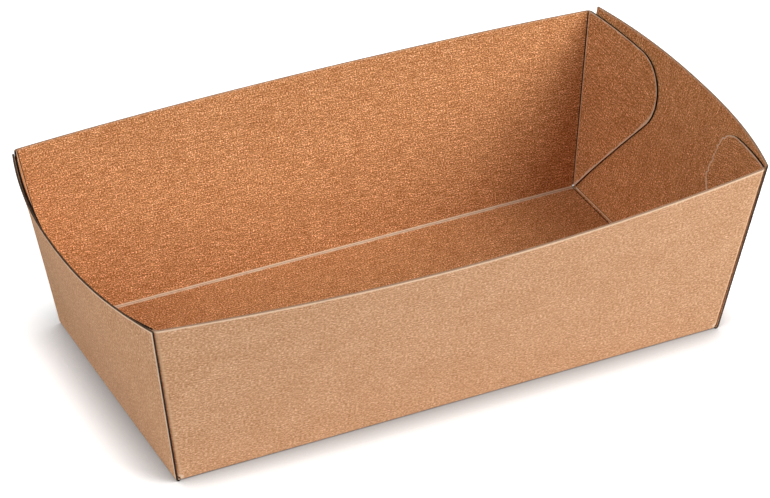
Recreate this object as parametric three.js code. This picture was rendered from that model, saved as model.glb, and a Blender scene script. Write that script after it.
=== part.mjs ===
// An open rectangular food tray, folded from one sheet of kraft board.
// X runs along the tray, Y across it and Z up. The origin is the middle of the bottom, on the table.
// The end walls fold up from the bottom. Each long wall folds up between them, and its two flaps
// turn round the corners and are glued flat against the inside of the end walls.
import * as THREE from "three";

// Sizes in millimetres. Lengths and widths are measured over the outer faces.
const boardThickness = 0.5;
const baseLength = 145.9;
const baseWidth = 74.3;
const rimLength = 160;
const rimWidth = 88.4;
const cornerHeight = 48.3;

// The walls are straight at the bottom folds and bow outwards towards the rim.
const frontWallBow = 5.5;
const backWallBow = 4.6;
const endWallBow = 6.3;
const longBowPower = 2;
const endBowPower = 2.2;

// The end walls are glued a little askew: their rims stand above the corners by these amounts, and
// their side edges are drawn in from the corners by these amounts at the rim.
const rightRimStep = { front: 0.8, back: 1.8 };
const leftRimStep = { front: 0, back: 0 };
const rightRimTrim = { front: 0, back: 2.4 };
const leftRimTrim = { front: 0, back: 1.8 };

// Folds. A crease leaves a rounded bead along the inside of a bottom fold.
const foldInnerRadius = 0.5;
const beadRise = 0.3;
const beadOverhang = 0.35;
const beadFade = 3;
const cornerBend = 1.4;
const cornerRelief = 0.3;

// Glue flaps, laid out on the end wall by their reach from the corner and their round tip.
const backFlapReach = 30;
const frontFlapReach = 27.3;
const flapTipRadius = 10;
const flapTipHeight = 37;
const flapFootAngle = THREE.MathUtils.degToRad(48.7);
const flapRootWidth = 0.4;
const glueLine = 0.12;

// How finely each stretch is divided.
const longWallColumns = 16;
const bottomRows = 16;
const flapFootRows = 6;
const flapTipRows = 9;
const flapTopRows = 3;
const endWallClimbs = 8;
const foldSteps = 4;
const cornerSteps = 4;
const flapSteps = 6;

const kraftColour = 0xbb8a5f;
const kraftRoughness = 0.92;

const foldOuterRadius = foldInnerRadius + boardThickness;
const foldMidRadius = foldInnerRadius + boardThickness / 2;
const longLeanOut = (rimWidth - baseWidth) / 2;
const endLeanOut = (rimLength - baseLength) / 2;
const longSlant = Math.hypot(longLeanOut, cornerHeight);
const endSlant = Math.hypot(endLeanOut, cornerHeight);
const { clamp, lerp } = THREE.MathUtils;

// How far a wall leans from upright at a place across it, from -1 at one corner to 1 at the other.
// Side is -1 for the front wall and 1 for the back wall.
function longWallLean(side, across) {
  const wallBow = side < 0 ? frontWallBow : backWallBow;
  const bow = wallBow * (1 - Math.abs(across) ** longBowPower);
  return Math.asin((longLeanOut + bow) / longSlant);
}

function endWallLean(across) {
  const bow = endWallBow * (1 - Math.abs(across) ** endBowPower);
  return Math.asin((endLeanOut + bow) / endSlant);
}

// The curved stretch of a bottom fold, along the middle of the board.
function foldLength(lean) {
  return foldMidRadius * (Math.PI / 2 - lean);
}

// From the sharp corner of the outer faces to where the fold starts to curve.
function foldSetback(lean) {
  return foldOuterRadius * Math.tan((Math.PI / 2 - lean) / 2);
}

// The middle of the board in section across a bottom fold. The distance runs from the start of the
// curve, and past the curve it climbs the wall. Out is measured from the sharp corner, and inset
// moves the point towards the inside of the tray.
function foldSection(lean, distance, inset = 0) {
  const curve = foldLength(lean);
  const turn = clamp(distance, 0, curve) / foldMidRadius;
  const climb = Math.max(distance - curve, 0);
  const radius = foldMidRadius - inset;
  return {
    out: radius * Math.sin(turn) + climb * Math.sin(lean) - foldSetback(lean),
    up: foldOuterRadius - radius * Math.cos(turn) + climb * Math.cos(lean),
  };
}

// Distances through a fold, from the end of the bottom panel to the foot of the wall.
function foldStops(lean) {
  const curve = foldLength(lean);
  const stops = [];
  for (let step = 0; step <= foldSteps; step += 1) stops.push((curve * step) / foldSteps);
  return [...stops, curve + beadOverhang / 2, curve + beadOverhang];
}

// The rise of the crease bead at a distance from the start of the fold's curve.
function beadHeight(lean, distance) {
  const curve = foldLength(lean);
  const reach = Math.abs(distance - curve / 2) / (curve / 2 + beadOverhang);
  return reach < 1 ? beadRise * Math.cos((reach * Math.PI) / 2) ** 2 : 0;
}

// The bead of an end fold fades out towards the corners, where the flaps are rooted.
function endBeadHeight(across, distance) {
  const fromCorner = (1 - Math.abs(across)) * (baseWidth / 2);
  const fade = THREE.MathUtils.smoothstep(fromCorner, cornerBend, cornerBend + beadFade);
  return fade * beadHeight(endWallLean(across), distance);
}

// A distance up a wall from the start of its fold: part 0 is the foot above the bead, 1 the rim.
function climbDistance(lean, slant, part) {
  const foot = foldLength(lean) + beadOverhang;
  const rim = foldLength(lean) + slant - foldSetback(lean);
  return lerp(foot, rim, part);
}

// A place on an end wall. End is -1 or 1, and across runs from -1 in front to 1 at the back.
function endWallPoint(end, across, distance, inset = 0) {
  const lean = endWallLean(across);
  const section = foldSection(lean, distance, inset);
  const climbed = Math.max(distance - foldLength(lean), 0) + foldSetback(lean);
  const part = distance > 0 ? climbed / endSlant : 0;
  const halfWidth = baseWidth / 2 + longLeanOut * part;
  return new THREE.Vector3(end * (baseLength / 2 + section.out), across * halfWidth, section.up);
}

// A place on a long wall.
function longWallPoint(side, x, part) {
  const lean = longWallLean(side, clamp(x / (baseLength / 2 + endLeanOut * part), -1, 1));
  const section = foldSection(lean, climbDistance(lean, longSlant, part));
  return new THREE.Vector3(x, side * (baseWidth / 2 + section.out), section.up);
}

// A place on a glue flap, which lies on the inner face of the end wall.
function flapPoint(end, side, fromCorner, slant) {
  const across = 1 - fromCorner / (baseWidth / 2 + (longLeanOut * slant) / endSlant);
  const lean = endWallLean(across);
  const distance = foldLength(lean) + slant - foldSetback(lean);
  return endWallPoint(end, side * across, distance, boardThickness + glueLine);
}

// The slant height on the end wall of a row of the long wall.
function flapSlant(part) {
  return lerp(foldSetback(endWallLean(1)) + beadOverhang, endSlant, part);
}

function linePoints(from, to, count) {
  return Array.from({ length: count }, (_, step) => from.clone().lerp(to, step / count));
}

// The free edge of a flap from its foot over the round tip to the rim, as (from corner, slant).
function flapOutline(reach) {
  const root = cornerBend + flapRootWidth;
  const centre = new THREE.Vector2(reach - flapTipRadius, flapTipHeight);
  const topRoot = new THREE.Vector2(root, endSlant);
  const toTop = topRoot.clone().sub(centre);
  const footTurn = flapFootAngle - Math.PI / 2;
  const topTurn = toTop.angle() - Math.acos(flapTipRadius / toTop.length());
  const tip = new THREE.EllipseCurve(centre.x, centre.y, flapTipRadius, flapTipRadius, footTurn, topTurn);
  const tipPoints = tip.getPoints(flapTipRows);
  const footRise = (tipPoints[0].x - root) * Math.tan(flapFootAngle);
  const footRoot = new THREE.Vector2(root, Math.max(tipPoints[0].y - footRise, flapSlant(0)));
  return [
    ...linePoints(footRoot, tipPoints[0], flapFootRows),
    ...tipPoints.slice(0, -1),
    ...linePoints(tipPoints.at(-1), topRoot, flapTopRows),
    topRoot,
  ];
}

// Round a corner fold from the end of the long wall, and out to the edge of the flap.
function cornerAndFlap(side, end, part, flapEdge) {
  const corner = cornerPoint(side, end, part);
  const root = new THREE.Vector2(cornerBend, flapSlant(part));
  const bend = new THREE.QuadraticBezierCurve3(
    longWallPoint(side, corner.x - end * cornerBend, part),
    corner,
    flapPoint(end, side, root.x, root.y),
  );
  const flap = linePoints(root, flapEdge, flapSteps).slice(1).concat(flapEdge);
  return [
    ...bend.getPoints(cornerSteps).slice(1),
    ...flap.map((place) => flapPoint(end, side, place.x, place.y)),
  ];
}

// The corner where the middle of a long wall meets the middle of its flap.
function cornerPoint(side, end, part) {
  const flap = flapPoint(end, side, boardThickness / 2, flapSlant(part));
  const wall = longWallPoint(side, flap.x, part);
  return new THREE.Vector3(flap.x, wall.y, wall.z);
}

// Places along a long wall between its corner bends, on its row at this part of the climb.
function longWallMiddle(side, part) {
  const half = cornerPoint(side, 1, part).x - cornerBend;
  return Array.from({ length: longWallColumns + 1 }, (_, column) => (
    longWallPoint(side, half * ((2 * column) / longWallColumns - 1), part)
  ));
}

// Half of each corner bend carries on down into the bottom fold.
const rootedSteps = cornerSteps / 2;
const sideColumns = rootedSteps + foldStops(0).length + endWallClimbs;

// A row of the sheet: the middle, and what lies beyond it at both ends, listed outwards.
function sheetRow(middle, beyond) {
  const fill = (places) => [...places, ...Array(sideColumns - places.length).fill(null)];
  return [...fill(beyond(-1)).reverse(), ...middle, ...fill(beyond(1))];
}

// A long wall with its two flaps, as rows from the foot to the rim.
function longWallRows(side, reach) {
  return flapOutline(reach).map((flapEdge, row, outline) => {
    const part = row / (outline.length - 1);
    const plain = (point) => ({ point, bead: 0 });
    return sheetRow(
      longWallMiddle(side, part).map(plain),
      (end) => cornerAndFlap(side, end, part, flapEdge).map(plain),
    );
  });
}

// The plan of a long wall's foot: how far along it a place is, and how far a corner bend has
// carried it in from the plane of the wall.
function footPlan(point) {
  const wall = longWallPoint(1, point.x, 0);
  return { x: point.x, inset: wall.y - Math.abs(point.y) };
}

const footMiddle = longWallMiddle(1, 0).map(footPlan);

// The bends are drawn back here, so that a relief cut parts them from the end fold.
function footBeyond(end) {
  const bend = cornerAndFlap(1, end, 0, new THREE.Vector2(cornerBend, flapSlant(0)));
  const start = footMiddle.at(-1).x;
  const limit = baseLength / 2 - foldSetback(endWallLean(1)) - cornerRelief;
  const drawn = Math.min((limit - start) / (bend[rootedSteps - 1].x * end - start), 1);
  return bend.slice(0, rootedSteps).map(footPlan)
    .map(({ x, inset }) => ({ x: end * lerp(start, x * end, drawn), inset }));
}

// A long wall's bottom fold, as rows from the bottom panel to the foot of the wall.
function longFoldRows(side) {
  const rows = [];
  for (let stop = 1; stop < foldSteps + 2; stop += 1) {
    const place = ({ x, inset }) => {
      const lean = longWallLean(side, clamp(x / (baseLength / 2), -1, 1));
      const distance = foldStops(lean)[stop];
      const section = foldSection(lean, distance);
      const y = side * (baseWidth / 2 + section.out - inset);
      return { point: new THREE.Vector3(x, y, section.up), bead: beadHeight(lean, distance) };
    };
    rows.push(sheetRow(footMiddle.map(place), (end) => footBeyond(end).map(place)));
  }
  return rows;
}

// An end wall's places at one line across it, from the end of the bottom panel to the rim.
function endWallLine(end, across, rimStep, rimTrim) {
  const rise = THREE.MathUtils.mapLinear(across, -1, 1, rimStep.front, rimStep.back);
  const trim = (across < 0 ? rimTrim.front : rimTrim.back) / (rimWidth / 2);
  const fold = foldStops(endWallLean(across)).map((distance) => ({
    point: endWallPoint(end, across, distance),
    bead: endBeadHeight(across, distance),
  }));
  const wall = Array.from({ length: endWallClimbs }, (_, step) => {
    const part = (step + 1) / endWallClimbs;
    const drawn = across * (1 - trim * part);
    const distance = climbDistance(endWallLean(drawn), endSlant + rise, part);
    return { point: endWallPoint(end, drawn, distance), bead: 0 };
  });
  return [...fold, ...wall];
}

// A line across the tray: over the bottom panel between the folds, and up both end walls.
function bottomRow(across) {
  const place = ({ x, inset }) => {
    const lean = longWallLean(Math.sign(across), clamp(x / (baseLength / 2), -1, 1));
    const halfWidth = baseWidth / 2 - foldSetback(lean) - inset;
    const toEndFold = Math.abs(x) - baseLength / 2 + foldSetback(endWallLean(across));
    const toLongFold = (Math.abs(across) - 1) * halfWidth;
    return {
      point: new THREE.Vector3(x, across * halfWidth, boardThickness / 2),
      bead: Math.max(beadHeight(lean, toLongFold), endBeadHeight(across, toEndFold)),
    };
  };
  const rims = { "-1": [leftRimStep, leftRimTrim], 1: [rightRimStep, rightRimTrim] };
  return sheetRow(
    footMiddle.map(place),
    (end) => [...footBeyond(end).map(place), ...endWallLine(end, across, ...rims[end])],
  );
}

// The bottom with both end walls, as rows from the front to the back. Near the long folds a few
// rows lie close together, to carry the bead.
function bottomAndEndWallRows() {
  const beadPart = beadOverhang / (baseWidth / 2 - foldOuterRadius);
  const rows = [-1, -1 + beadPart / 2];
  for (let row = 0; row <= bottomRows; row += 1) {
    rows.push((1 - beadPart) * ((2 * row) / bottomRows - 1));
  }
  return [...rows, 1 - beadPart / 2, 1].map(bottomRow);
}

// The direction towards the inside of the tray at a place in the sheet.
function inwards(sheet, row, column) {
  const here = sheet[row][column];
  const place = (r, c) => (sheet[r]?.[c] ?? here).point.clone();
  const along = place(row, column + 1).sub(place(row, column - 1));
  const across = place(row + 1, column).sub(place(row - 1, column));
  return along.cross(across).normalize();
}

// Gives a sheet of places on the middle of the board its thickness, as one closed surface. Empty
// places are where the sheet is cut away.
function boardGeometry(sheet) {
  const points = [];
  const faces = [];
  const first = sheet.map((cells, row) => cells.map((cell, column) => {
    if (!cell) return -1;
    const normal = inwards(sheet, row, column);
    points.push(cell.point.clone().addScaledVector(normal, boardThickness / 2 + cell.bead));
    points.push(cell.point.clone().addScaledVector(normal, -boardThickness / 2));
    return points.length - 2;
  }));
  const corners = (r, c) => [first[r]?.[c], first[r]?.[c + 1], first[r + 1]?.[c + 1], first[r + 1]?.[c]];
  const isBoard = (r, c) => corners(r, c).every((corner) => corner >= 0);
  const quad = (a, b, c, d) => faces.push(a, b, c, a, c, d);
  const edge = (from, to) => quad(from + 1, to + 1, to, from);
  sheet.forEach((cells, r) => cells.forEach((_, c) => {
    if (!isBoard(r, c)) return;
    const [a, b, d, e] = corners(r, c);
    quad(a, b, d, e);
    quad(e + 1, d + 1, b + 1, a + 1);
    if (!isBoard(r - 1, c)) edge(a, b);
    if (!isBoard(r, c + 1)) edge(b, d);
    if (!isBoard(r + 1, c)) edge(d, e);
    if (!isBoard(r, c - 1)) edge(e, a);
  }));
  const geometry = new THREE.BufferGeometry().setFromPoints(points);
  geometry.setIndex(faces);
  geometry.computeVertexNormals();
  return geometry;
}

function foldedTray() {
  const sheet = [
    ...longWallRows(-1, frontFlapReach).reverse(),
    ...longFoldRows(-1).reverse(),
    ...bottomAndEndWallRows(),
    ...longFoldRows(1),
    ...longWallRows(1, backFlapReach),
  ];
  const kraft = new THREE.MeshStandardMaterial({
    color: kraftColour,
    roughness: kraftRoughness,
    metalness: 0,
    flatShading: true,
  });
  const tray = new THREE.Mesh(boardGeometry(sheet), kraft);
  tray.name = "folded_tray";
  return tray;
}

const tray = new THREE.Group();
tray.add(foldedTray());

export default tray;
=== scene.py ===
"""An open food tray folded from one sheet of kraft board, on a pale studio floor.

A flat blank is laid out as a fine grid, and a Geometry Nodes tree folds it up round its creases,
laps the glue flaps inside the end walls and gives the board its thickness.
"""

import math

import bpy
from mathutils import Matrix, Vector


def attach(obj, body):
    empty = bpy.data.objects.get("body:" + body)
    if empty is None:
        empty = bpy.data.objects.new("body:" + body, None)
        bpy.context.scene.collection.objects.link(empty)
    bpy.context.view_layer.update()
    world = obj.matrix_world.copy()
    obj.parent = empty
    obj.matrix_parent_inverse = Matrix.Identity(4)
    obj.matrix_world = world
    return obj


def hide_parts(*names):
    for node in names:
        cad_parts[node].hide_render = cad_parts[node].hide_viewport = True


bl_info = {
    "name": "Folded kraft board tray",
    "version": (1, 0, 0),
    "blender": (4, 5, 0),
    "location": "View3D > Sidebar > Kraft tray",
    "description": "Folds an open food tray from a flat blank of kraft board, with its studio stage",
    "category": "Add Mesh",
}

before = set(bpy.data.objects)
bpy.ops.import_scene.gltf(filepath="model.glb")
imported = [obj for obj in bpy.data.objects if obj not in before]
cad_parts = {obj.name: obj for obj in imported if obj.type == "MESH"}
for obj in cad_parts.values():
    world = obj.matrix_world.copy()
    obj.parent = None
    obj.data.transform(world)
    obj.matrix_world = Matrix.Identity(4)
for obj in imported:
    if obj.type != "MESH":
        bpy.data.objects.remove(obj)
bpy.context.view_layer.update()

TRAY_NODE = "folded_tray"
BODY = "root"

# How finely the blank is divided.
MAIN_COLUMNS = 80
BEND_STEPS = 8
FLAP_STEPS = 20
FOLD_STEPS = 10
CLIMB_STEPS = 34
BOTTOM_ROWS = 40
FOOT_ROWS = 12
TIP_ROWS = 26
TOP_ROWS = 12

# How the divisions close up towards the rims and cut edges.
LAST_EVEN = 0.97
LAST_BUT_ONE = 0.988
RIM_ROWS = 3
RIM_ROW = 0.006
CROWDING = 0.8

# How dark the cut edge is along the left and right rims, and how much more down their sides.
# Along the rims it is dark cut board with painted shade, deeper on the left, turned from the key.
END_CUT_DARK_AND_SHADE = {-1: 0.8, 1: 0.3}
SIDE_DARK = 0.6

# How much of a front flap's tip is torn off, and how ragged the torn edge is, as depth, waves
# round the tip and turn.
TORN_DEPTH = 0.0016
TORN_PART = 0.7
TORN_END = 0.8
TORN_WAVES = ((0.0003, 47, 0), (0.0002, 83, 1))

# Where the blank lies in its UV map, which is in metres: the two faces lie side by side.
MAP_CENTRE = (0.15, 0.1)
OUTSIDE_SHIFT = 0.25

IMAGE_WIDTH = 770


# Formulas in node trees


def arithmetic(operation, turned=False):
    """The method for one of Python's operators, turned where the number stands on the right."""

    def method(self, other):
        values = (other, self) if turned else (self, other)
        return math_node(self.tree, operation, *values)

    return method


class Formula:
    """A number in a node tree. Arithmetic on it adds the Math nodes that work it out."""

    __add__, __radd__ = arithmetic("ADD"), arithmetic("ADD", turned=True)
    __sub__, __rsub__ = arithmetic("SUBTRACT"), arithmetic("SUBTRACT", turned=True)
    __mul__, __rmul__ = arithmetic("MULTIPLY"), arithmetic("MULTIPLY", turned=True)
    __truediv__ = arithmetic("DIVIDE")
    __pow__ = arithmetic("POWER")

    def __init__(self, tree, socket):
        self.tree = tree
        self.socket = socket

    def call(self, operation, *others):
        return math_node(self.tree, operation, self, *others)


def plug(tree, value, socket):
    if isinstance(value, Formula):
        value = value.socket
    if isinstance(value, bpy.types.NodeSocket):
        tree.links.new(value, socket)
    else:
        socket.default_value = value


def math_node(tree, operation, *values):
    node = tree.nodes.new("ShaderNodeMath")
    node.operation = operation
    for value, socket in zip(values, node.inputs):
        plug(tree, value, socket)
    return Formula(tree, node.outputs[0])


def lerp(start, end, part):
    return start + (end - start) * part


def clamp(value, low, high):
    return value.call("MAXIMUM", low).call("MINIMUM", high)


def smooth(value, low, high):
    """0 below low, 1 above high, and a smooth rise between them."""
    part = clamp((value - low) / (high - low), 0, 1)
    return part * part * (3 - 2 * part)


def hypot(a, b):
    return (a * a + b * b).call("SQRT")


def add_node(tree, kind, inputs=None, **settings):
    """A node with its settings, and its inputs by name or number."""
    node = tree.nodes.new(kind)
    for name, value in settings.items():
        setattr(node, name, value)
    for name, value in (inputs or {}).items():
        plug(tree, value, node.inputs[name])
    return node


def add_socket(tree, name, way, kind="Float"):
    return tree.interface.new_socket(name, in_out=way, socket_type="NodeSocket" + kind)


# Sizes, colours and the stage, as a user would change them


def number(name, default, description, **settings):
    return bpy.props.FloatProperty(name=name, default=default, description=description, **settings)


def length(name, default, description):
    return number(name, default, description, unit="LENGTH", precision=5)


def power(name, default, description):
    return number(name, default, description, unit="POWER")


def colour(name, default, description):
    return bpy.props.FloatVectorProperty(
        name=name, default=default, description=description, size=3, subtype="COLOR", min=0, max=1
    )


class TraySizes(bpy.types.PropertyGroup):
    base_length: length("Base length", 0.1459, "Length of the bottom over its folds")
    base_width: length("Base width", 0.0743, "Width of the bottom over its folds")
    rim_length: length("Rim length", 0.16, "Length between the rim's corners")
    rim_width: length("Rim width", 0.0884, "Width between the rim's corners")
    corner_height: length("Corner height", 0.0483, "Height of the rim at its corners")
    front_bow: length("Front wall bow", 0.0055, "How far the middle of the front rim bows out")
    back_bow: length("Back wall bow", 0.0046, "How far the middle of the back rim bows out")
    end_bow: length("End wall bow", 0.0063, "How far the middle of an end rim bows outwards")
    long_power: number("Long bow power", 2, "Shape of a long wall's bow")
    end_power: number("End bow power", 2.2, "Shape of an end wall's bow")
    board_thickness: length("Board thickness", 0.0005, "Thickness of the board")
    fold_radius: length("Fold radius", 0.0005, "Radius inside a bottom fold")
    bead_rise: length("Bead rise", 0.0003, "How far a crease's bead stands up inside")
    bead_overhang: length("Bead overhang", 0.00035, "How far a bead reaches past its fold")
    corner_bend: length("Corner bend", 0.0009, "Reach of the bend at a corner")
    corner_relief: length("Corner relief", 0.0003, "Cut between a corner bend and the end fold")
    glue_line: length("Glue line", 0.00012, "Gap between a flap and its end wall")
    back_reach: length("Back flap reach", 0.03, "Reach of the back flaps from the corner")
    front_reach: length("Front flap reach", 0.0273, "Reach of the front flaps from the corner")
    tip_radius: length("Flap tip radius", 0.01, "Radius of a flap's round tip")
    tip_height: length("Flap tip height", 0.037, "Height of the tip's centre up the end wall")
    foot_angle: number(
        "Flap foot angle", math.radians(48.7), "Slope of a flap's lower edge", subtype="ANGLE"
    )
    root_width: length("Flap root width", 0.0004, "Flat stretch of a flap beside its bend")
    right_step_front: length("Right step, front", 0.0008, "End rim above the front right corner")
    right_step_back: length("Right step, back", 0.0018, "End rim above the back right corner")
    right_trim: length("Right trim", 0.0024, "End wall drawn in from the back right corner")
    left_trim: length("Left trim", 0.0018, "End wall drawn in from the back left corner")


class KraftLooks(bpy.types.PropertyGroup):
    outside: colour("Outside", (0.555, 0.306, 0.163), "Plain colour of the smooth outer face")
    inside: colour("Inside", (0.575, 0.243, 0.087), "Plain colour of the rough inner face")
    # The pale fibre colour also paints the highlight down the outer corner bends.
    pale_fibre: colour("Pale fibre", (0.7, 0.44, 0.26), "Colour of the pale fibres and specks")
    # The dark fibre colour also paints the line of shade along the creases.
    dark_fibre: colour("Dark fibre", (0.2, 0.09, 0.04), "Colour of the dark fibres and specks")
    # The torn colour also paints highlights along the creases, the corner bends and the cut edges.
    torn: colour("Torn fibre", (0.86, 0.66, 0.48), "Colour of torn and rubbed fibres")
    # The cut colour is near black: dark cut board with painted shade where the edges are hidden from
    # light. It also paints the shade line down the inner corner bends.
    cut: colour("Cut edge", (0.012, 0.005, 0.003), "Colour of the cut edges of flaps and sides")
    rim: colour("Rim", (0.4, 0.24, 0.15), "Colour of the cut edge along the rim")
    roughness: number("Roughness", 0.9, "Roughness of the board", min=0, max=1)


class StageSettings(bpy.types.PropertyGroup):
    key_power: power("Key light", 10.6, "Power of the softbox at the front")
    right_power: power("Right light", 2.8, "Power of the softbox on the right")
    left_power: power("Left light", 4.4, "Power of the softbox on the left")
    strip_power: power("Strip light", 1.6, "Power of the low strip on the left")
    world_level: number("Room light", 0.03, "Strength of the plain room light")


# The flat blank


def flap_outline(sizes, reach, lowest):
    """A flap's free edge from its foot over the round tip to the rim, as (from corner, slant)."""
    end_slant = math.hypot((sizes.rim_length - sizes.base_length) / 2, sizes.corner_height)
    root = sizes.corner_bend + sizes.root_width
    centre = (reach - sizes.tip_radius, sizes.tip_height)
    to_top = (root - centre[0], end_slant - centre[1])
    foot_turn = sizes.foot_angle - math.pi / 2
    top_turn = math.atan2(to_top[1], to_top[0]) - math.acos(sizes.tip_radius / math.hypot(*to_top))
    tip = []
    for step in range(TIP_ROWS + 1):
        turn = foot_turn + (top_turn - foot_turn) * step / TIP_ROWS
        out, up = sizes.tip_radius * math.cos(turn), sizes.tip_radius * math.sin(turn)
        tip.append((centre[0] + out, centre[1] + up))
    foot_rise = (tip[0][0] - root) * math.tan(sizes.foot_angle)
    foot = (root, max(tip[0][1] - foot_rise, lowest))
    return (
        line_points(foot, tip[0], FOOT_ROWS)
        + tip[:-1]
        + line_points(tip[-1], (root, end_slant), TOP_ROWS)
        + [(root, end_slant)]
    )


def torn_away(part):
    """How much of a front flap's tip is torn off, for a part from 0 to 1 round the tip."""
    if not 0 < part < TORN_END:
        return 0
    bite = TORN_DEPTH * math.sin(math.pi * min(part / TORN_PART, 1)) ** 2
    return bite + sum(depth * math.sin(waves * part + turn) for depth, waves, turn in TORN_WAVES)


def line_points(start, end, count):
    return [
        tuple(a + (b - a) * step / count for a, b in zip(start, end)) for step in range(count)
    ]


def eased(count):
    """Parts from 0 to 1 that close up towards 1, where a cut edge lies."""
    plain = [step / (count - 2) for step in range(1, count - 1)]
    return [part * LAST_EVEN for part in plain] + [LAST_BUT_ONE, 1.0]


class Blank:
    """The flat sheet as a grid: rows from the front rim to the back rim, columns along the tray."""

    # dark is how dark a cut edge is: dark cut board with painted shade where it is hidden from
    # light.
    NAMES = ("along", "across", "long_roll", "end_roll", "bend", "reach", "slant", "panel", "dark")

    def __init__(self, sizes):
        self.sizes = sizes
        self.half_length = sizes.base_length / 2
        self.half_width = sizes.base_width / 2
        self.long_lean = (sizes.rim_width - sizes.base_width) / 2
        self.end_lean = (sizes.rim_length - sizes.base_length) / 2
        self.long_slant = math.hypot(self.long_lean, sizes.corner_height)
        self.end_slant = math.hypot(self.end_lean, sizes.corner_height)
        outer = sizes.fold_radius + sizes.board_thickness
        corner_lean = math.asin(self.end_lean / self.end_slant)
        self.setback = outer * math.tan((math.pi / 2 - corner_lean) / 2)
        self.flap_turn = math.atan2(self.end_lean, self.long_slant) + math.atan2(
            self.long_lean, self.end_slant
        )
        self.side_columns = BEND_STEPS // 2 + FOLD_STEPS + CLIMB_STEPS

    def flap_slant(self, part):
        low = self.setback + self.sizes.bead_overhang
        return low + (self.end_slant - low) * part

    def row(self, middle, beyond):
        """One row: the middle, and what lies beyond it at both ends, filled up with gaps."""
        left, right = (
            side + [None] * (self.side_columns - len(side)) for side in (beyond(-1), beyond(1))
        )
        return left[::-1] + middle + right

    def middle(self, **facts):
        steps = [2 * column / MAIN_COLUMNS - 1 for column in range(MAIN_COLUMNS + 1)]
        return [dict(facts, along=along) for along in steps]

    def long_wall(self, side, reach):
        outline = flap_outline(self.sizes, reach, self.flap_slant(0))
        last = len(outline) - 1
        rows = []
        for index, tip in enumerate(outline):
            part = self.wall_part(index, last)
            facts = {"across": side, "long_roll": 1 + part, "panel": 1}
            root = (self.sizes.corner_bend, self.flap_slant(part))
            if side < 0:
                tip = (tip[0] - torn_away((index - FOOT_ROWS) / TIP_ROWS), tip[1])

            def beyond(end, facts=facts, root=root, tip=tip):
                places = []
                for step in range(1, BEND_STEPS + 1):
                    bend = step / BEND_STEPS
                    places.append(dict(facts, along=end, bend=bend, slant=root[1]))
                for share in eased(FLAP_STEPS):
                    place = [a + (b - a) * share for a, b in zip(root, tip)]
                    # A flap's cut edge is near black: dark cut board with painted shade in the gap
                    # under it.
                    facts_here = dict(facts, along=end, bend=1, slant=place[1], dark=1)
                    places.append(dict(facts_here, reach=place[0] - self.sizes.corner_bend))
                return places

            rows.append(self.row(self.middle(**facts), beyond))
        return rows

    def wall_part(self, index, last):
        """Rows climb the wall evenly, and close up at the rim."""
        even = last - RIM_ROWS
        if index > even:
            return 1 - RIM_ROW * (last - index)
        return (1 - RIM_ROW * RIM_ROWS) * index / even

    def long_fold(self, side):
        rows = []
        for step in range(1, FOLD_STEPS):
            facts = {"across": side, "long_roll": step / FOLD_STEPS, "panel": 0}
            rows.append(self.row(self.middle(**facts), lambda end: self.half_bend(end, facts)))
        return rows

    def half_bend(self, end, facts):
        steps = range(1, BEND_STEPS // 2 + 1)
        return [dict(facts, along=end, bend=step / BEND_STEPS) for step in steps]

    def bottom(self):
        rows = []
        for step in range(BOTTOM_ROWS + 1):
            even = 2 * step / BOTTOM_ROWS - 1
            across = math.copysign(abs(math.sin(even * math.pi / 2)) ** CROWDING, even)
            facts = {"across": across, "long_roll": 0, "panel": 0}

            def beyond(end, facts=facts):
                return self.half_bend(end, facts) + self.end_wall(end, facts["across"])

            rows.append(self.row(self.middle(**facts), beyond))
        return rows

    def end_wall(self, end, across):
        facts = {"along": end, "across": across, "panel": 2}
        # A rim's darkness is dark cut board with painted shade, deeper on the left rim.
        facts["dark"] = END_CUT_DARK_AND_SHADE[end] + SIDE_DARK * (abs(across) == 1)
        rolls = [step / FOLD_STEPS for step in range(FOLD_STEPS)]
        rolls += [1] + [1 + part for part in eased(CLIMB_STEPS - 1)]
        return [dict(facts, end_roll=roll) for roll in rolls]

    def rows(self):
        return [
            *reversed(self.long_wall(-1, self.sizes.front_reach)),
            *reversed(self.long_fold(-1)),
            *self.bottom(),
            *self.long_fold(1),
            *self.long_wall(1, self.sizes.back_reach),
        ]

    def flat_place(self, cell):
        """Where a place lies on the flat blank, in metres from its middle."""
        along, across = cell["along"], cell["across"]
        if cell["panel"] == 2:
            climb = self.climbed(cell["end_roll"], self.end_slant)
            part = max(climb, 0) / self.end_slant
            width = self.half_width + self.long_lean * part
            return along * (self.half_length + climb), across * width
        climb = self.climbed(cell["long_roll"], self.long_slant)
        part = max(climb, 0) / self.long_slant
        corner = self.half_length + self.end_lean * part
        bend = cell.get("bend", 0)
        v = across * (self.half_width + climb)
        if cell["panel"] == 0:
            inner = self.half_length - self.setback - self.sizes.corner_bend / 2
            return along * inner + math.copysign(bend * self.sizes.corner_bend, along), v
        wall_end = corner - self.sizes.corner_bend * (1 - bend)
        if bend < 1:
            return along * wall_end, v
        foot = self.flap_slant(part)
        reach = self.sizes.corner_bend + cell.get("reach", 0)
        turn = self.flap_turn
        rise = cell["slant"] - foot
        u = corner + reach * math.cos(turn) - self.sizes.corner_bend
        lift = reach * math.sin(turn) + rise
        return math.copysign(u, along), across * (self.half_width + climb + lift)

    def climbed(self, roll, slant):
        """Distance from a fold's sharp corner for a roll from 0 through the fold to 2 at the rim."""
        low = self.setback + self.sizes.bead_overhang
        if roll <= 1:
            return -self.setback + (self.setback + low) * roll
        return low + (slant - low) * (roll - 1)


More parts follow.
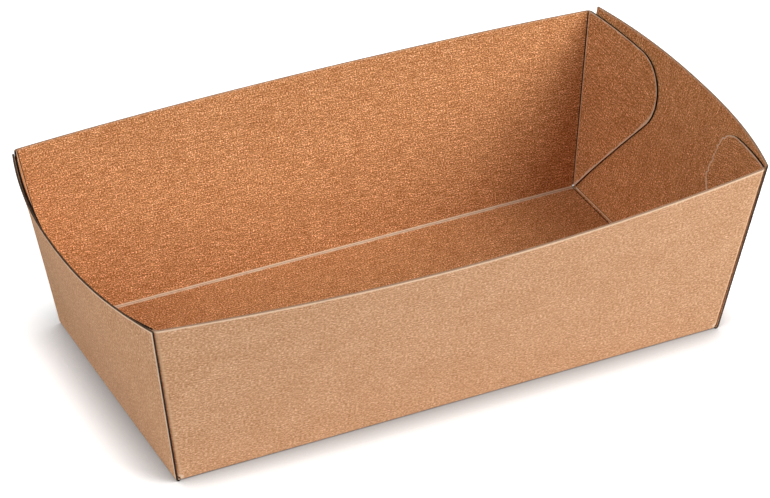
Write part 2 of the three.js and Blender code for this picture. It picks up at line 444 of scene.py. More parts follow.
def blank_mesh(sizes):
    """The flat blank, with what the fold tree has to know as attributes of its points."""
    blank = Blank(sizes)
    rows = blank.rows()
    points, cells, index = [], [], []
    for row in rows:
        numbers = []
        for cell in row:
            numbers.append(-1 if cell is None else len(points))
            if cell is not None:
                points.append((*blank.flat_place(cell), 0))
                cells.append(cell)
        index.append(numbers)
    pairs = zip(index, index[1:])
    quads = [quad for low, high in pairs for quad in zip(low, low[1:], high[1:], high)]
    faces = [quad for quad in quads if min(quad) >= 0]
    mesh = bpy.data.meshes.new(TRAY_NODE + "_blank")
    mesh.from_pydata(points, [], faces)
    for name in Blank.NAMES:
        attribute = mesh.attributes.new(name, "FLOAT", "POINT")
        attribute.data.foreach_set("value", [float(cell.get(name, 0)) for cell in cells])
    layer = mesh.uv_layers.new(name="blank")
    for loop in mesh.loops:
        u, v, _ = points[loop.vertex_index]
        layer.data[loop.index].uv = (u + MAP_CENTRE[0], v + MAP_CENTRE[1])
    return mesh


# The tree that folds the blank

# The sizes that shape the flat blank alone, and the sizes that the tree takes in.
BLANK_ONLY = ("back_reach", "front_reach", "tip_radius", "tip_height", "foot_angle", "root_width")
FOLD_INPUTS = [name for name in TraySizes.__annotations__ if name not in BLANK_ONLY]
MATERIAL_INPUTS = ("Outside", "Inside", "Cut edge")

BEAD_FADE = 0.003
NEARLY_NOTHING = 1e-7
MERGE_DISTANCE = 1e-6
SMOOTH_ANGLE = math.radians(40)


class FoldTree:
    """Builds the Geometry Nodes tree that folds a blank into the tray."""

    def __init__(self, sizes):
        self.tree = bpy.data.node_groups.new("Fold the blank", "GeometryNodeTree")
        add_socket(self.tree, "Blank", "INPUT", "Geometry")
        for name in FOLD_INPUTS:
            add_socket(self.tree, name, "INPUT").default_value = getattr(sizes, name)
        for name in MATERIAL_INPUTS:
            add_socket(self.tree, name, "INPUT", "Material")
        add_socket(self.tree, "Tray", "OUTPUT", "Geometry")
        self.inputs = self.tree.nodes.new("NodeGroupInput")
        self.size = {name: Formula(self.tree, self.inputs.outputs[name]) for name in FOLD_INPUTS}
        self.derive()
        self.connect()

    def read(self, name):
        node = add_node(
            self.tree, "GeometryNodeInputNamedAttribute", {"Name": name}, data_type="FLOAT"
        )
        return Formula(self.tree, node.outputs["Attribute"])

    def derive(self):
        size = self.size
        self.outer = size["fold_radius"] + size["board_thickness"]
        self.mid = size["fold_radius"] + size["board_thickness"] / 2
        self.half_length = size["base_length"] / 2
        self.half_width = size["base_width"] / 2
        self.long_lean_out = (size["rim_width"] - size["base_width"]) / 2
        self.end_lean_out = (size["rim_length"] - size["base_length"]) / 2
        self.long_slant = hypot(self.long_lean_out, size["corner_height"])
        self.end_slant = hypot(self.end_lean_out, size["corner_height"])

    def long_lean(self, side, along):
        size = self.size
        wall_bow = lerp(size["front_bow"], size["back_bow"], (side.call("SIGN") + 1) / 2)
        bow = wall_bow * (1 - along.call("ABSOLUTE") ** size["long_power"])
        return ((self.long_lean_out + bow) / self.long_slant).call("ARCSINE")

    def end_lean(self, across):
        size = self.size
        bow = size["end_bow"] * (1 - across.call("ABSOLUTE") ** size["end_power"])
        return ((self.end_lean_out + bow) / self.end_slant).call("ARCSINE")

    def curve(self, lean):
        """Length of a fold's curved stretch along the middle of the board."""
        return self.mid * (math.pi / 2 - lean)

    def setback(self, lean):
        """From the sharp corner of the outer faces to where the fold starts to curve."""
        return self.outer * ((math.pi / 2 - lean) / 2).call("TANGENT")

    def section(self, lean, distance, inset=0):
        """How far out and up a place lies at a distance through a fold and on up its wall."""
        curve = self.curve(lean)
        turn = clamp(distance, 0, curve) / self.mid
        climb = (distance - curve).call("MAXIMUM", 0)
        radius = self.mid - inset
        out = radius * turn.call("SINE") + climb * lean.call("SINE") - self.setback(lean)
        up = self.outer - radius * turn.call("COSINE") + climb * lean.call("COSINE")
        return out, up

    def distance(self, lean, roll, slant):
        """The distance through a fold and up its wall for a roll from 0 to 2."""
        foot = self.curve(lean) + self.size["bead_overhang"]
        rim = self.curve(lean) + slant - self.setback(lean)
        return lerp(foot * clamp(roll, 0, 1), rim, clamp(roll - 1, 0, 1))

    def end_place(self, end, across, distance, inset=0):
        lean = self.end_lean(across)
        out, up = self.section(lean, distance, inset)
        climb = (distance - self.curve(lean)).call("MAXIMUM", 0) + self.setback(lean)
        part = climb / self.end_slant * smooth(distance, 0, NEARLY_NOTHING)
        x = end * (self.half_length + out)
        return x, across * (self.half_width + self.long_lean_out * part), up

    def flap_place(self, end, side, from_corner, slant):
        width = self.half_width + self.long_lean_out * slant / self.end_slant
        across = 1 - from_corner / width
        lean = self.end_lean(across)
        distance = self.curve(lean) + slant - self.setback(lean)
        inset = self.size["board_thickness"] + self.size["glue_line"]
        return self.end_place(end, side * across, distance, inset)

    def long_place(self, side, x, roll):
        """A place on a long wall, its fold or the bottom beside it, for a roll from 0 to 2."""
        part = clamp(roll - 1, 0, 1)
        across = clamp(x / (self.half_length + self.end_lean_out * part), -1, 1)
        lean = self.long_lean(side, across)
        distance = self.distance(lean, roll, self.long_slant)
        out, up = self.section(lean, distance)
        return x, side * (self.half_width + out), up, lean, distance

    def bead(self, lean, distance):
        curve = self.curve(lean)
        overhang = self.size["bead_overhang"]
        reach = (distance - curve / 2).call("ABSOLUTE") / (curve / 2 + overhang)
        hump = (reach.call("MINIMUM", 1) * (math.pi / 2)).call("COSINE")
        return self.size["bead_rise"] * hump * hump

    def folded(self):
        """The folded position of each point of the blank, and the bead it carries."""
        size = self.size
        along, across, bend = self.read("along"), self.read("across"), self.read("bend")
        long_roll, end_roll = self.read("long_roll"), self.read("end_roll")
        panel = self.read("panel")
        is_wall = 1 - (panel - 1).call("ABSOLUTE").call("MINIMUM", 1)
        is_end = (panel - 1).call("MAXIMUM", 0)
        end = along.call("SIGN")
        side = across.call("SIGN")
        corner_lean = (self.end_lean_out / self.end_slant).call("ARCSINE")
        foot_slant = self.setback(corner_lean) + size["bead_overhang"]
        row_slant = lerp(foot_slant, self.end_slant, clamp(long_roll - 1, 0, 1))
        half_board = size["board_thickness"] / 2
        corner_x = self.flap_place(1, side, half_board, row_slant)[0]
        wall_half = corner_x - size["corner_bend"] * (1 - bend)
        relief_half = self.half_length - foot_slant + size["bead_overhang"] - size["corner_relief"]
        foot_half = corner_x - size["corner_bend"]
        base_half = lerp(foot_half, relief_half, bend * 2)
        half = lerp(base_half, wall_half, is_wall)
        x, y, z, lean, distance = self.long_place(across, along * half, long_roll)
        drawn_in = bend * bend * (size["corner_bend"] - half_board) * (1 - is_wall)
        y = y - across * drawn_in
        tucked = lerp(half_board, size["corner_bend"], bend) + self.read("reach")
        slant = lerp(row_slant, self.read("slant"), is_wall)
        flap = self.flap_place(end, side, tucked, slant)
        lap = bend * is_wall
        wall = [lerp(a, b, lap) for a, b in zip((x, y, z), flap)]
        end_wall, end_bead = self.end_wall(end, across, end_roll)
        place = [lerp(a, b, is_end) for a, b in zip(wall, end_wall)]
        long_distance = distance - (1 - across.call("ABSOLUTE")) * self.half_width
        bead = self.bead(lean, long_distance) * (1 - smooth(bend, 0.4, 1))
        bead = bead * (1 - is_end)
        return place, bead.call("MAXIMUM", end_bead * is_end)

    def end_wall(self, end, across, end_roll):
        size = self.size
        is_right = (end + 1) / 2
        front = size["right_step_front"] * is_right
        back = size["right_step_back"] * is_right
        rise = lerp(front, back, (across + 1) / 2)
        trim = lerp(size["left_trim"], size["right_trim"], is_right) * across.call("MAXIMUM", 0)
        across = across - trim / (size["rim_width"] / 2) * clamp(end_roll - 1, 0, 1)
        lean = self.end_lean(across)
        distance = self.distance(lean, end_roll, self.end_slant + rise)
        near = (1 - across.call("ABSOLUTE")) * self.half_width
        fade = smooth(near, size["corner_bend"], size["corner_bend"] + BEAD_FADE)
        return self.end_place(end, across, distance), self.bead(lean, distance) * fade

    def add(self, kind, inputs=None, **settings):
        return add_node(self.tree, kind, inputs, **settings)

    def store(self, geometry, name, value, **settings):
        """The geometry with a value stored on it under a name."""
        node = self.add(
            "GeometryNodeStoreNamedAttribute", {"Geometry": geometry, "Name": name}, **settings
        )
        plug(self.tree, value, node.inputs["Value"])
        return node.outputs[0]

    def set_position(self, geometry, **inputs):
        return self.add("GeometryNodeSetPosition", {"Geometry": geometry, **inputs}).outputs[0]

    def connect(self):
        """The order of the work: mark the cut edge, fold, then give the board its thickness."""
        blank = self.inputs.outputs["Blank"]
        marked = self.mark_cut_edge(blank)
        place, bead = self.folded()
        corner = self.add("ShaderNodeCombineXYZ", dict(zip("XYZ", place)))
        beaded = self.store(marked, "bead", bead)
        self.thicken(self.set_position(beaded, Position=corner.outputs[0]))

    def mark_cut_edge(self, blank):
        """Stores each point's distance on the blank from the nearest cut edge."""
        neighbours = self.add("GeometryNodeInputMeshEdgeNeighbors")
        inner = self.add(
            "FunctionNodeCompare",
            {2: neighbours.outputs[0], 3: 1},
            data_type="INT",
            operation="GREATER_THAN",
        )
        outline = self.add(
            "GeometryNodeDeleteGeometry",
            {"Geometry": blank, "Selection": inner.outputs[0]},
            domain="EDGE",
        )
        near = self.add(
            "GeometryNodeProximity", {"Geometry": outline.outputs[0]}, target_element="EDGES"
        )
        return self.store(blank, "cut_distance", near.outputs["Distance"])

    def thicken(self, sheet):
        normal = self.add("GeometryNodeInputNormal")
        thickness = self.size["board_thickness"]
        along_normal = {}
        for name, amount in (("in", thickness + self.read("bead")), ("out", thickness * -0.5)):
            scaled = self.add("ShaderNodeVectorMath", {0: normal.outputs[0]}, operation="SCALE")
            plug(self.tree, amount, scaled.inputs["Scale"])
            along_normal[name] = scaled.outputs[0]
        capture = self.add("GeometryNodeCaptureAttribute", {"Geometry": sheet})
        capture.capture_items.new("VECTOR", "Inwards")
        plug(self.tree, along_normal["in"], capture.inputs["Inwards"])
        outer = self.set_position(capture.outputs["Geometry"], Offset=along_normal["out"])
        raised = self.add(
            "GeometryNodeExtrudeMesh", {"Mesh": outer, "Offset Scale": 0.0, "Individual": False}
        )
        top = raised.outputs["Top"]
        lifted = self.set_position(
            raised.outputs["Mesh"], Selection=top, Offset=capture.outputs["Inwards"]
        )
        inside = self.set_material(lifted, "Inside", top)
        edged = self.set_material(inside, "Cut edge", raised.outputs["Side"])
        turned = self.add("GeometryNodeFlipFaces", {"Mesh": outer}).outputs[0]
        outside = self.set_material(self.shift_map(turned), "Outside")
        self.finish(edged, outside)

    def shift_map(self, geometry):
        """Moves the outer face to its own place in the UV map."""
        uv = self.add(
            "GeometryNodeInputNamedAttribute", {"Name": "blank"}, data_type="FLOAT_VECTOR"
        )
        moved = self.add(
            "ShaderNodeVectorMath",
            {0: uv.outputs["Attribute"], 1: (0, OUTSIDE_SHIFT, 0)},
            operation="ADD",
        )
        return self.store(geometry, "blank", moved.outputs[0], data_type="FLOAT2", domain="CORNER")

    def set_material(self, geometry, name, selection=True):
        inputs = {"Geometry": geometry, "Selection": selection}
        inputs["Material"] = self.inputs.outputs[name]
        return self.add("GeometryNodeSetMaterial", inputs).outputs[0]

    def finish(self, *parts):
        join = self.add("GeometryNodeJoinGeometry")
        for part in parts:
            self.tree.links.new(part, join.inputs[0])
        merged = self.add(
            "GeometryNodeMergeByDistance", {"Geometry": join.outputs[0], "Distance": MERGE_DISTANCE}
        )
        angle = self.add("GeometryNodeInputMeshEdgeAngle")
        limits = {0: angle.outputs[0], 1: SMOOTH_ANGLE}
        gentle = self.add("FunctionNodeCompare", limits, operation="LESS_THAN")
        shaded = self.add(
            "GeometryNodeSetShadeSmooth",
            {"Geometry": merged.outputs[0], "Shade Smooth": gentle.outputs[0]},
            domain="EDGE",
        )
        real = self.add("GeometryNodeRealizeInstances", {"Geometry": shaded.outputs[0]})
        output = self.tree.nodes.new("NodeGroupOutput")
        self.tree.links.new(real.outputs[0], output.inputs[0])


def set_input(modifier, name, value):
    """Sets a modifier's input by its socket's identifier."""
    for item in modifier.node_group.interface.items_tree:
        if item.item_type == "SOCKET" and item.in_out == "INPUT" and item.name == name:
            modifier[item.identifier] = value
            return
    raise KeyError(name)


def add_object(name, data):
    """A new object, linked to the scene."""
    item = bpy.data.objects.new(name, data)
    bpy.context.scene.collection.objects.link(item)
    return item


def plain_mesh(source, name):
    """The evaluated result of an object's modifiers as a new object, and the source removed."""
    depsgraph = bpy.context.evaluated_depsgraph_get()
    mesh = bpy.data.meshes.new_from_object(source.evaluated_get(depsgraph), depsgraph=depsgraph)
    piece = add_object(name, mesh)
    mesh.name = name
    old = source.data
    bpy.data.objects.remove(source)
    bpy.data.meshes.remove(old)
    return piece


# Materials

# The sizes of the fibres, specks and rubbed places, in metres along the sheet's grain and across.
GRAIN_SIZE = (0.00042, 0.00026)
STREAK_SIZE = (0.0035, 0.0004)
CLOUD_SIZE = (0.009, 0.005)
RAGGED_SIZE = (0.0009, 0.0009)
PATCH_SIZE = (0.004, 0.004)
WANDER_SIZE = (0.006, 0.006)
BREAK_SIZE = (0.0022, 0.0022)
CUT_SIZE = (0.001, 0.001)
DARK_SPECKS = {"spacing": 0.0021, "size": 0.00028, "share": 0.22, "seed": 11.3}
PALE_SPECKS = {"spacing": 0.0017, "size": 0.00026, "share": 0.3, "seed": 23.9}
SMALLEST_SPECK = 0.4
GRAIN_HEIGHT = 0.7
STREAK_HEIGHT = 0.6

# How far a crease's lines wander, the narrowest rubbed edge, and where a line's sides fade.
WANDER = 0.0001
NARROWEST_EDGE = 0.00002
LINE_FADE = (0.6, 1.4)
EDGE_FADE = (0.6, 1.1)

# How glossy the board is, where 0.5 is a common plastic.
SPECULAR = 0.25


def shader_group(name, inputs, outputs):
    """An empty shader node group with its input and output sockets."""
    group = bpy.data.node_groups.new(name, "ShaderNodeTree")
    for title, default in inputs.items():
        is_vector = default is None
        socket = add_socket(group, title, "INPUT", "Vector" if is_vector else "Float")
        if not is_vector:
            socket.default_value = default
    for title in outputs:
        add_socket(group, title, "OUTPUT")
    enter, leave = group.nodes.new("NodeGroupInput"), group.nodes.new("NodeGroupOutput")
    values = {title: Formula(group, enter.outputs[title]) for title in inputs}
    return group, values, leave


def scaled(tree, place, scale, shift):
    """A place scaled and then shifted, for a texture."""
    inputs = {0: place.socket, 1: scale, 2: shift}
    return add_node(tree, "ShaderNodeVectorMath", inputs, operation="MULTIPLY_ADD").outputs[0]


def noise(tree, place, along, across, detail=2.0, roughness=0.5, seed=0.0):
    """Noise about 0, with features that are so long along the sheet's grain and so wide."""
    where = scaled(tree, place, (1 / along, 1 / across, 1), (seed, seed * 1.7, seed))
    inputs = {"Vector": where, "Scale": 1.0, "Detail": detail, "Roughness": roughness}
    node = add_node(tree, "ShaderNodeTexNoise", inputs)
    return (Formula(tree, node.outputs["Fac"]) - 0.5) * 2


def specks(tree, place, spacing, size, share, seed):
    """Small round specks: one cell in each spacing, and this share of the cells has one."""
    where = scaled(tree, place, (1 / spacing, 1.4 / spacing, 1), (seed, seed, seed))
    cells = add_node(tree, "ShaderNodeTexVoronoi", {"Vector": where, "Scale": 1.0})
    distance = Formula(tree, cells.outputs["Distance"]) * spacing
    parts = add_node(tree, "ShaderNodeSeparateColor", {"Color": cells.outputs["Color"]})
    chosen = Formula(tree, parts.outputs[0]).call("LESS_THAN", share)
    radius = size * lerp(SMALLEST_SPECK, 1, Formula(tree, parts.outputs[1]))
    return chosen * (1 - clamp(distance / radius, 0, 1)).call("MULTIPLY", 2).call("MINIMUM", 1)


def fibre_group():
    """The fibres of the board: a shade about 1, dark specks, pale specks and a height."""
    inputs = {"Map": None, "Grain": 0.2, "Grain size": 1.0, "Streaks": 0.1, "Clouds": 0.05}
    outputs = ("Shade", "Dark specks", "Pale specks", "Height")
    group, value, leave = shader_group("Kraft fibres", inputs, outputs)
    place = value["Map"]
    sized = add_node(group, "ShaderNodeVectorMath", {0: place.socket}, operation="DIVIDE")
    plug(group, value["Grain size"], sized.inputs[1])
    fine = Formula(group, sized.outputs[0])
    grain = noise(group, fine, *GRAIN_SIZE, detail=2, roughness=0.7)
    streak = noise(group, place, *STREAK_SIZE, detail=2, roughness=0.6, seed=3.1)
    cloud = noise(group, place, *CLOUD_SIZE, detail=2, seed=7.7)
    shade = grain * value["Grain"] + streak * value["Streaks"] + cloud * value["Clouds"]
    shade = shade.call("EXPONENT")
    dark = specks(group, place, **DARK_SPECKS)
    pale = specks(group, place, **PALE_SPECKS)
    height = grain * GRAIN_HEIGHT + streak * STREAK_HEIGHT
    for name, result in zip(outputs, (shade, dark, pale, height)):
        plug(group, result, leave.inputs[name])
    return group


def edge_group():
    """Rubbed fibres and a painted highlight along a cut edge: a ragged mask that is 1 at the edge.
    """
    inputs = {"Map": None, "Distance": 0.0, "Width": 0.0005, "Raggedness": 0.5}
    group, value, leave = shader_group("Rubbed edge", inputs, ("Mask",))
    ragged = noise(group, value["Map"], *RAGGED_SIZE, detail=3, roughness=0.7, seed=5.5)
    patchy = noise(group, value["Map"], *PATCH_SIZE, detail=1, seed=9.1)
    width = value["Width"] * (1 + (ragged * 1.4 + patchy) * value["Raggedness"])
    part = clamp(value["Distance"] / width.call("MAXIMUM", NARROWEST_EDGE), 0, 2)
    plug(group, 1 - smooth(part, *EDGE_FADE), leave.inputs["Mask"])
    return group


def crease_group():
    """Marks along a crease from the distance to its middle: pale lines, partly rubbed fibres and
    partly a painted highlight on the bead, and a dark line of painted shade.
    """
    inputs = {"Map": None, "Distance": 0.0, "Near line": 0.0005, "Far line": -0.0006}
    inputs.update({"Line width": 0.0004, "Dark line": -0.00005, "Dark width": 0.0002})
    group, value, leave = shader_group("Crease marks", inputs, ("Pale", "Dark"))
    wander = noise(group, value["Map"], *WANDER_SIZE, detail=2, seed=2.2) * WANDER
    broken = noise(group, value["Map"], *BREAK_SIZE, detail=3, roughness=0.7, seed=4.4)
    distance = value["Distance"] + wander
    near = line(distance, value["Near line"], value["Line width"]) * (1.2 + broken)
    far = line(distance, value["Far line"], value["Line width"]) * (0.8 + broken)
    pale = clamp(near, 0, 1).call("MAXIMUM", clamp(far, 0, 1))
    plug(group, pale, leave.inputs["Pale"])
    dark = line(distance, value["Dark line"], value["Dark width"]) * (0.8 + broken * 0.8)
    plug(group, clamp(dark, 0, 1), leave.inputs["Dark"])
    return group


def line(distance, middle, width):
    """1 along a line at a distance, fading out at its sides."""
    return 1 - smooth((distance - middle).call("ABSOLUTE") / width, *LINE_FADE)


def new_material(name, roughness):
    material = bpy.data.materials.new(name)
    material.use_nodes = True
    shader = material.node_tree.nodes["Principled BSDF"]
    shader.inputs["Roughness"].default_value = roughness
    shader.inputs["Specular IOR Level"].default_value = SPECULAR
    return material, material.node_tree, shader


def tint(tree, under, over, mask):
    """The colour under a mask mixed towards another colour."""
    node = add_node(tree, "ShaderNodeMix", data_type="RGBA", clamp_factor=True)
    for value, socket in ((mask, node.inputs[0]), (under, node.inputs[6]), (over, node.inputs[7])):
        plug(tree, value, socket)
    return node.outputs[2]


def attribute(tree, name):
    """A value stored on the mesh's points."""
    return Formula(tree, add_node(tree, "ShaderNodeAttribute", attribute_name=name).outputs["Fac"])


# How strongly the fibres shade red, green and blue: pale fibres are whiter, dark ones are greyer.
SHADE_STRENGTH = (0.8, 1.15, 1.6)

# How strong the fibres and specks are on each face.
INSIDE_FIBRES = {"Grain": 2.99, "Streaks": 0.8, "Clouds": 0.12}
OUTSIDE_FIBRES = {"Grain": 1.24, "Grain_size": 1.5, "Streaks": 0.3, "Clouds": 0.12}
INSIDE_BUMP = 0.8
OUTSIDE_BUMP = 0.3
DARK_STRENGTH = 0.85
PALE_STRENGTH = 0.8

# How far short of the corners the creases' marks end, and the lines of an end crease.
LONG_CREASE_GAP = 0.0008
END_CREASE_GAP = 0.0012
END_CREASE = {
    "Near_line": 0.0002,
    "Far_line": -0.0002,
    "Line_width": 0.0003,
    "Dark_line": 0.00075,
    "Dark_width": 0.00015,
}

# The lines down a corner's bend, as the part of the bend that they lie at and their width:
# # inside, a painted highlight beside a near-black line of painted shade; outside, a painted
# highlight.
CORNER_PAINTED_HIGHLIGHT = (0.8, 0.1)
CORNER_PAINTED_SHADE = (0.5, 0.16)
CORNER_OUTSIDE_HIGHLIGHT = (0.3, 0.2)

# How wide the pale cut edges are, rubbed fibres with a painted highlight, and how high the
# # fibres stand.
INSIDE_EDGE = 0.00042
OUTSIDE_EDGE = 0.0006
RELIEF = 0.00008


class KraftMaterial:
    """One face of the board: fibres, specks, rubbed cut edges and crease marks."""

    def __init__(self, name, looks, groups, shift):
        self.material, self.tree, self.shader = new_material(name, looks.roughness)
        self.looks, self.groups = looks, groups
        uv = add_node(self.tree, "ShaderNodeUVMap", uv_map="blank")
        self.map = Formula(self.tree, uv.outputs[0])
        parts = add_node(self.tree, "ShaderNodeSeparateXYZ", {0: uv.outputs[0]})
        self.u = (Formula(self.tree, parts.outputs[0]) - MAP_CENTRE[0]).call("ABSOLUTE")
        self.v = (Formula(self.tree, parts.outputs[1]) - MAP_CENTRE[1] - shift).call("ABSOLUTE")

    def group(self, name, **inputs):
        """The outputs of one of the node groups by name, with its inputs plugged in."""
        node = self.tree.nodes.new("ShaderNodeGroup")
        node.node_tree = self.groups[name]
        for title, value in dict(inputs, Map=self.map).items():
            plug(self.tree, value, node.inputs[title.replace("_", " ")])
        return {socket.name: Formula(self.tree, socket) for socket in node.outputs}

    def board(self, plain, bump, **amounts):
        """The plain board with its fibres and specks."""
        fibres = self.group("fibres", **amounts)
        shaded = add_node(self.tree, "ShaderNodeCombineColor")
        for part, strength, socket in zip(plain, SHADE_STRENGTH, shaded.inputs):
            plug(self.tree, part * (fibres["Shade"] ** strength), socket)
        dark, pale = fibres["Dark specks"] * DARK_STRENGTH, fibres["Pale specks"] * PALE_STRENGTH
        colour = self.mix(shaded.outputs[0], self.looks.dark_fibre, dark)
        colour = self.mix(colour, self.looks.pale_fibre, pale)
        relief = add_node(self.tree, "ShaderNodeBump", {"Strength": bump, "Distance": RELIEF})
        plug(self.tree, fibres["Height"], relief.inputs["Height"])
        self.tree.links.new(relief.outputs[0], self.shader.inputs["Normal"])
        return colour

    def mix(self, under, over, mask):
        return tint(self.tree, under, (*over, 1), mask)

    def cut_edge(self, colour, width, raggedness, strength):
        """The colour with rubbed fibres and a painted highlight along the cut edges."""
        distance = attribute(self.tree, "cut_distance")
        rubbed_and_highlit = self.group("edge", Distance=distance, Width=width, Raggedness=raggedness)
        return self.mix(colour, self.looks.torn, rubbed_and_highlit["Mask"] * strength)

    def crease(self, colour, distance, within, pale, dark, **lines):
        """The colour with a crease's pale and dark lines, where within is 1."""
        marks = self.group("crease", Distance=distance, **lines)
        colour = self.mix(colour, self.looks.torn, marks["Pale"] * within * pale)
        return self.mix(colour, self.looks.dark_fibre, marks["Dark"] * within * dark)

    def finish(self, colour):
        self.tree.links.new(colour, self.shader.inputs["Base Color"])
        return self.material


def inside_material(looks, sizes, groups):
    face = KraftMaterial("kraft_inside", looks, groups, 0)
    colour = face.board(looks.inside, INSIDE_BUMP, **INSIDE_FIBRES)
    half_length, half_width = sizes.base_length / 2, sizes.base_width / 2
    on_long = (half_length - LONG_CREASE_GAP - face.u).call("GREATER_THAN", 0)
    on_end = (half_width - END_CREASE_GAP - face.v).call("GREATER_THAN", 0)
    # Along the bottom creases: pale lines, rubbed fibres with a painted highlight, and painted
    # shade.
    colour = face.crease(colour, face.v - half_width, on_long, 1, 1)
    colour = face.crease(colour, face.u - half_length, on_end, 0.8, 0.8, **END_CREASE)
    bend = attribute(face.tree, "bend")
    # Down each inner corner bend: a pale line of painted highlight and a near-black line of painted
    # shade.
    colour = face.mix(colour, looks.torn, line(bend, *CORNER_PAINTED_HIGHLIGHT) * 0.6)
    colour = face.mix(colour, looks.cut, line(bend, *CORNER_PAINTED_SHADE))
    dark = attribute(face.tree, "dark")
    # Pale cut edges, rubbed fibres with a painted highlight, strongest along the dark flap edges.
    colour = face.cut_edge(colour, INSIDE_EDGE, 0.8, 0.2 + dark * 0.6)
    return face.finish(colour)


def outside_material(looks, groups):
    face = KraftMaterial("kraft_outside", looks, groups, OUTSIDE_SHIFT)
    colour = face.board(looks.outside, OUTSIDE_BUMP, **OUTSIDE_FIBRES)
    bend = attribute(face.tree, "bend")
    # A pale line of painted highlight down each outer corner bend.
    colour = face.mix(colour, looks.pale_fibre, line(bend, *CORNER_OUTSIDE_HIGHLIGHT) * 0.6)
    # A pale band along the outer cut edges: burnished fibres with a painted highlight on the arris.
    colour = face.cut_edge(colour, OUTSIDE_EDGE, 0.25, 0.7)
    return face.finish(colour)


def cut_edge_material(looks):
    """The cut edge of the board: dark cut board with painted shade, near black where it is hidden
    from light, and brown at the rim.
    """
    material, tree, shader = new_material("kraft_cut_edge", looks.roughness)
    coordinates = add_node(tree, "ShaderNodeTexCoord")
    place = Formula(tree, coordinates.outputs["Object"])
    ragged = noise(tree, place, *CUT_SIZE, detail=3, roughness=0.7)
    dark = attribute(tree, "dark") + ragged * 0.3
    colour = tint(tree, (*looks.rim, 1), (*looks.cut, 1), clamp(dark, 0, 1))
    tree.links.new(colour, shader.inputs["Base Color"])
    return material


# The operators


class TRAY_OT_fold_tray(bpy.types.Operator):
    """Fold the kraft board tray from its blank"""

    bl_idname = "kraft_tray.fold_tray"
    bl_label = "Fold the tray"

    def execute(self, context):
        sizes, looks = context.scene.tray_sizes, context.scene.kraft_looks
        source = add_object("tray_blank", blank_mesh(sizes))
        modifier = source.modifiers.new("Fold the blank", "NODES")
        modifier.node_group = FoldTree(sizes).tree
        for name in FOLD_INPUTS:
            set_input(modifier, name, getattr(sizes, name))
        groups = {"fibres": fibre_group(), "edge": edge_group(), "crease": crease_group()}
        set_input(modifier, "Outside", outside_material(looks, groups))
        set_input(modifier, "Inside", inside_material(looks, sizes, groups))
        set_input(modifier, "Cut edge", cut_edge_material(looks))
        tray = plain_mesh(source, "kraft_tray")
        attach(tray, BODY)
        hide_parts(TRAY_NODE)
        return {"FINISHED"}


# Where each light hangs and how wide and high it is, and the place that they all face.
LIGHTS = {
    "key": ((0.624, -0.744, 0.536), (0.6, 0.6)),
    "right": ((0.741, -0.345, 0.756), (0.6, 0.6)),
    "left": ((-0.83, -0.146, 0.727), (0.6, 0.6)),
    "strip": ((-0.9, -0.1, 0.085), (0.8, 0.16)),
}
LIGHTS_FACE = (0, 0, 0.02)


class TRAY_OT_set_stage(bpy.types.Operator):
    """Lay the pale floor, hang the soft lights and place the camera"""

    bl_idname = "kraft_tray.set_stage"
    bl_label = "Set the stage"

    def execute(self, context):
        stage = context.scene.stage_settings
        make_floor()
        make_world(stage)
        for name, (place, size) in LIGHTS.items():
            soft_light(name + "_light", place, size, getattr(stage, name + "_power"))
        place_camera(context.scene)
        context.scene.view_settings.view_transform = "Standard"
        return {"FINISHED"}


# The floor: its half width, how pale it is, its glow for the camera, and the soft shadow close to
# the tray.
FLOOR_HALF = 3
FLOOR_PALE = 0.9
FLOOR_SHADED = 0.15
FLOOR_GLOW = 0.8
SHADOW_REACH = 0.012
SHADOW_DEPTH = 1.5


def empty_tree(owner):
    """A material's or world's emptied tree, its light paths, and 1 for what the camera sees."""
    owner.use_nodes = True
    tree = owner.node_tree
    tree.nodes.clear()
    rays = add_node(tree, "ShaderNodeLightPath")
    return tree, rays, Formula(tree, rays.outputs["Is Camera Ray"])


def make_floor():
    mesh = bpy.data.meshes.new("studio_floor")
    corners = [(x * FLOOR_HALF, y * FLOOR_HALF, 0) for x, y in ((-1, -1), (1, -1), (1, 1), (-1, 1))]
    mesh.from_pydata(corners, [], [(0, 1, 2, 3)])
    floor = add_object("studio_floor", mesh)
    material = bpy.data.materials.new("studio_floor")
    tree, rays, seen = empty_tree(material)
    reach = add_node(tree, "ShaderNodeAmbientOcclusion", {"Distance": SHADOW_REACH}, samples=16)
    lit = lerp(1, Formula(tree, reach.outputs["AO"]) ** SHADOW_DEPTH, seen)
    grey = add_node(tree, "ShaderNodeCombineColor")
    for socket in grey.inputs:
        plug(tree, lerp(FLOOR_SHADED, FLOOR_PALE, lit), socket)
    diffuse = add_node(tree, "ShaderNodeBsdfDiffuse", {"Color": grey.outputs[0]})
    seen = seen + rays.outputs["Is Glossy Ray"] + rays.outputs["Is Transmission Ray"]
    glow = add_node(
        tree, "ShaderNodeEmission", {"Strength": seen.call("MINIMUM", 1) * lit * FLOOR_GLOW}
    )
    total = add_node(tree, "ShaderNodeAddShader", {0: diffuse.outputs[0], 1: glow.outputs[0]})
    add_node(tree, "ShaderNodeOutputMaterial", {"Surface": total.outputs[0]})
    mesh.materials.append(material)


def make_world(stage):
    world = bpy.data.worlds.new("studio_room")
    tree, _, seen = empty_tree(world)
    room = add_node(tree, "ShaderNodeBackground", {"Strength": stage.world_level})
    white = add_node(tree, "ShaderNodeBackground", {"Strength": 1.0})
    for node in (room, white):
        node.inputs["Color"].default_value = (1, 1, 1, 1)
    mix = add_node(
        tree, "ShaderNodeMixShader", {0: seen, 1: room.outputs[0], 2: white.outputs[0]}
    )
    add_node(tree, "ShaderNodeOutputWorld", {"Surface": mix.outputs[0]})
    bpy.context.scene.world = world


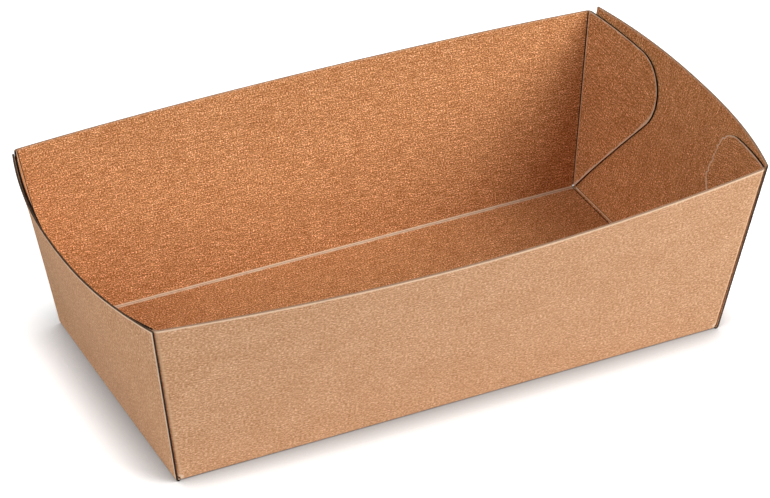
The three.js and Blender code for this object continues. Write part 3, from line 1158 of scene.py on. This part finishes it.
def soft_light(name, place, size, power):
    """A soft light that faces the tray."""
    light = bpy.data.lights.new(name, "AREA")
    light.shape = "RECTANGLE"
    light.size, light.size_y = size
    light.energy = power
    lamp = add_object(name, light)
    lamp.location = place
    lamp.rotation_mode = "QUATERNION"
    lamp.rotation_quaternion = (Vector(LIGHTS_FACE) - Vector(place)).to_track_quat("-Z", "Y")


# The camera, as found from the photograph: it looks down at the tray from the front left.
CAMERA_AZIMUTH = math.radians(-25.645)
CAMERA_ELEVATION = math.radians(32.591)
CAMERA_ROLL = math.radians(-0.321)
CAMERA_DISTANCE = 0.880839
CAMERA_RIGHT = -0.000608
CAMERA_UP = 0.019004
CAMERA_FOCAL_PIXELS = 3541.08
CAMERA_SHIFT_PIXELS = 1.011
CAMERA_SENSOR = 36
CAMERA_CLIP = 20


def place_camera(scene):
    azimuth, level = CAMERA_AZIMUTH, math.cos(CAMERA_ELEVATION)
    back = (math.sin(azimuth) * level, -math.cos(azimuth) * level, math.sin(CAMERA_ELEVATION))
    back = Vector(back)
    right = Vector((math.cos(azimuth), math.sin(azimuth), 0))
    up = back.cross(right)
    turned_right = right * math.cos(CAMERA_ROLL) + up * math.sin(CAMERA_ROLL)
    turned_up = up * math.cos(CAMERA_ROLL) - right * math.sin(CAMERA_ROLL)
    data = bpy.data.cameras.new("camera")
    data.sensor_width = CAMERA_SENSOR
    data.sensor_fit = "HORIZONTAL"
    data.lens = CAMERA_FOCAL_PIXELS * data.sensor_width / IMAGE_WIDTH
    data.shift_x = -CAMERA_SHIFT_PIXELS / IMAGE_WIDTH
    data.clip_end = CAMERA_CLIP
    camera = add_object("camera", data)
    place = back * CAMERA_DISTANCE + turned_right * CAMERA_RIGHT + turned_up * CAMERA_UP
    axes = Matrix((turned_right, turned_up, back)).transposed()
    camera.matrix_world = Matrix.Translation(place) @ axes.to_4x4()
    scene.camera = camera


class TRAY_PT_panel(bpy.types.Panel):
    """Kraft tray"""

    bl_label = "Kraft tray"
    bl_idname = "TRAY_PT_panel"
    bl_space_type = "VIEW_3D"
    bl_region_type = "UI"
    bl_category = "Kraft tray"

    def draw(self, context):
        for operator in OPERATORS:
            self.layout.operator(operator.bl_idname)


OPERATORS = (TRAY_OT_fold_tray, TRAY_OT_set_stage)
SETTINGS = {
    "tray_sizes": TraySizes,
    "kraft_looks": KraftLooks,
    "stage_settings": StageSettings,
}


def register():
    for settings in SETTINGS.values():
        bpy.utils.register_class(settings)
    for name, settings in SETTINGS.items():
        setattr(bpy.types.Scene, name, bpy.props.PointerProperty(type=settings))
    for item in (*OPERATORS, TRAY_PT_panel):
        bpy.utils.register_class(item)


def unregister():
    for item in (TRAY_PT_panel, *reversed(OPERATORS)):
        bpy.utils.unregister_class(item)
    for name, settings in SETTINGS.items():
        delattr(bpy.types.Scene, name)
        bpy.utils.unregister_class(settings)


def main():
    register()
    bpy.ops.kraft_tray.fold_tray()
    bpy.ops.kraft_tray.set_stage()


if __name__ == "__main__":
    main()
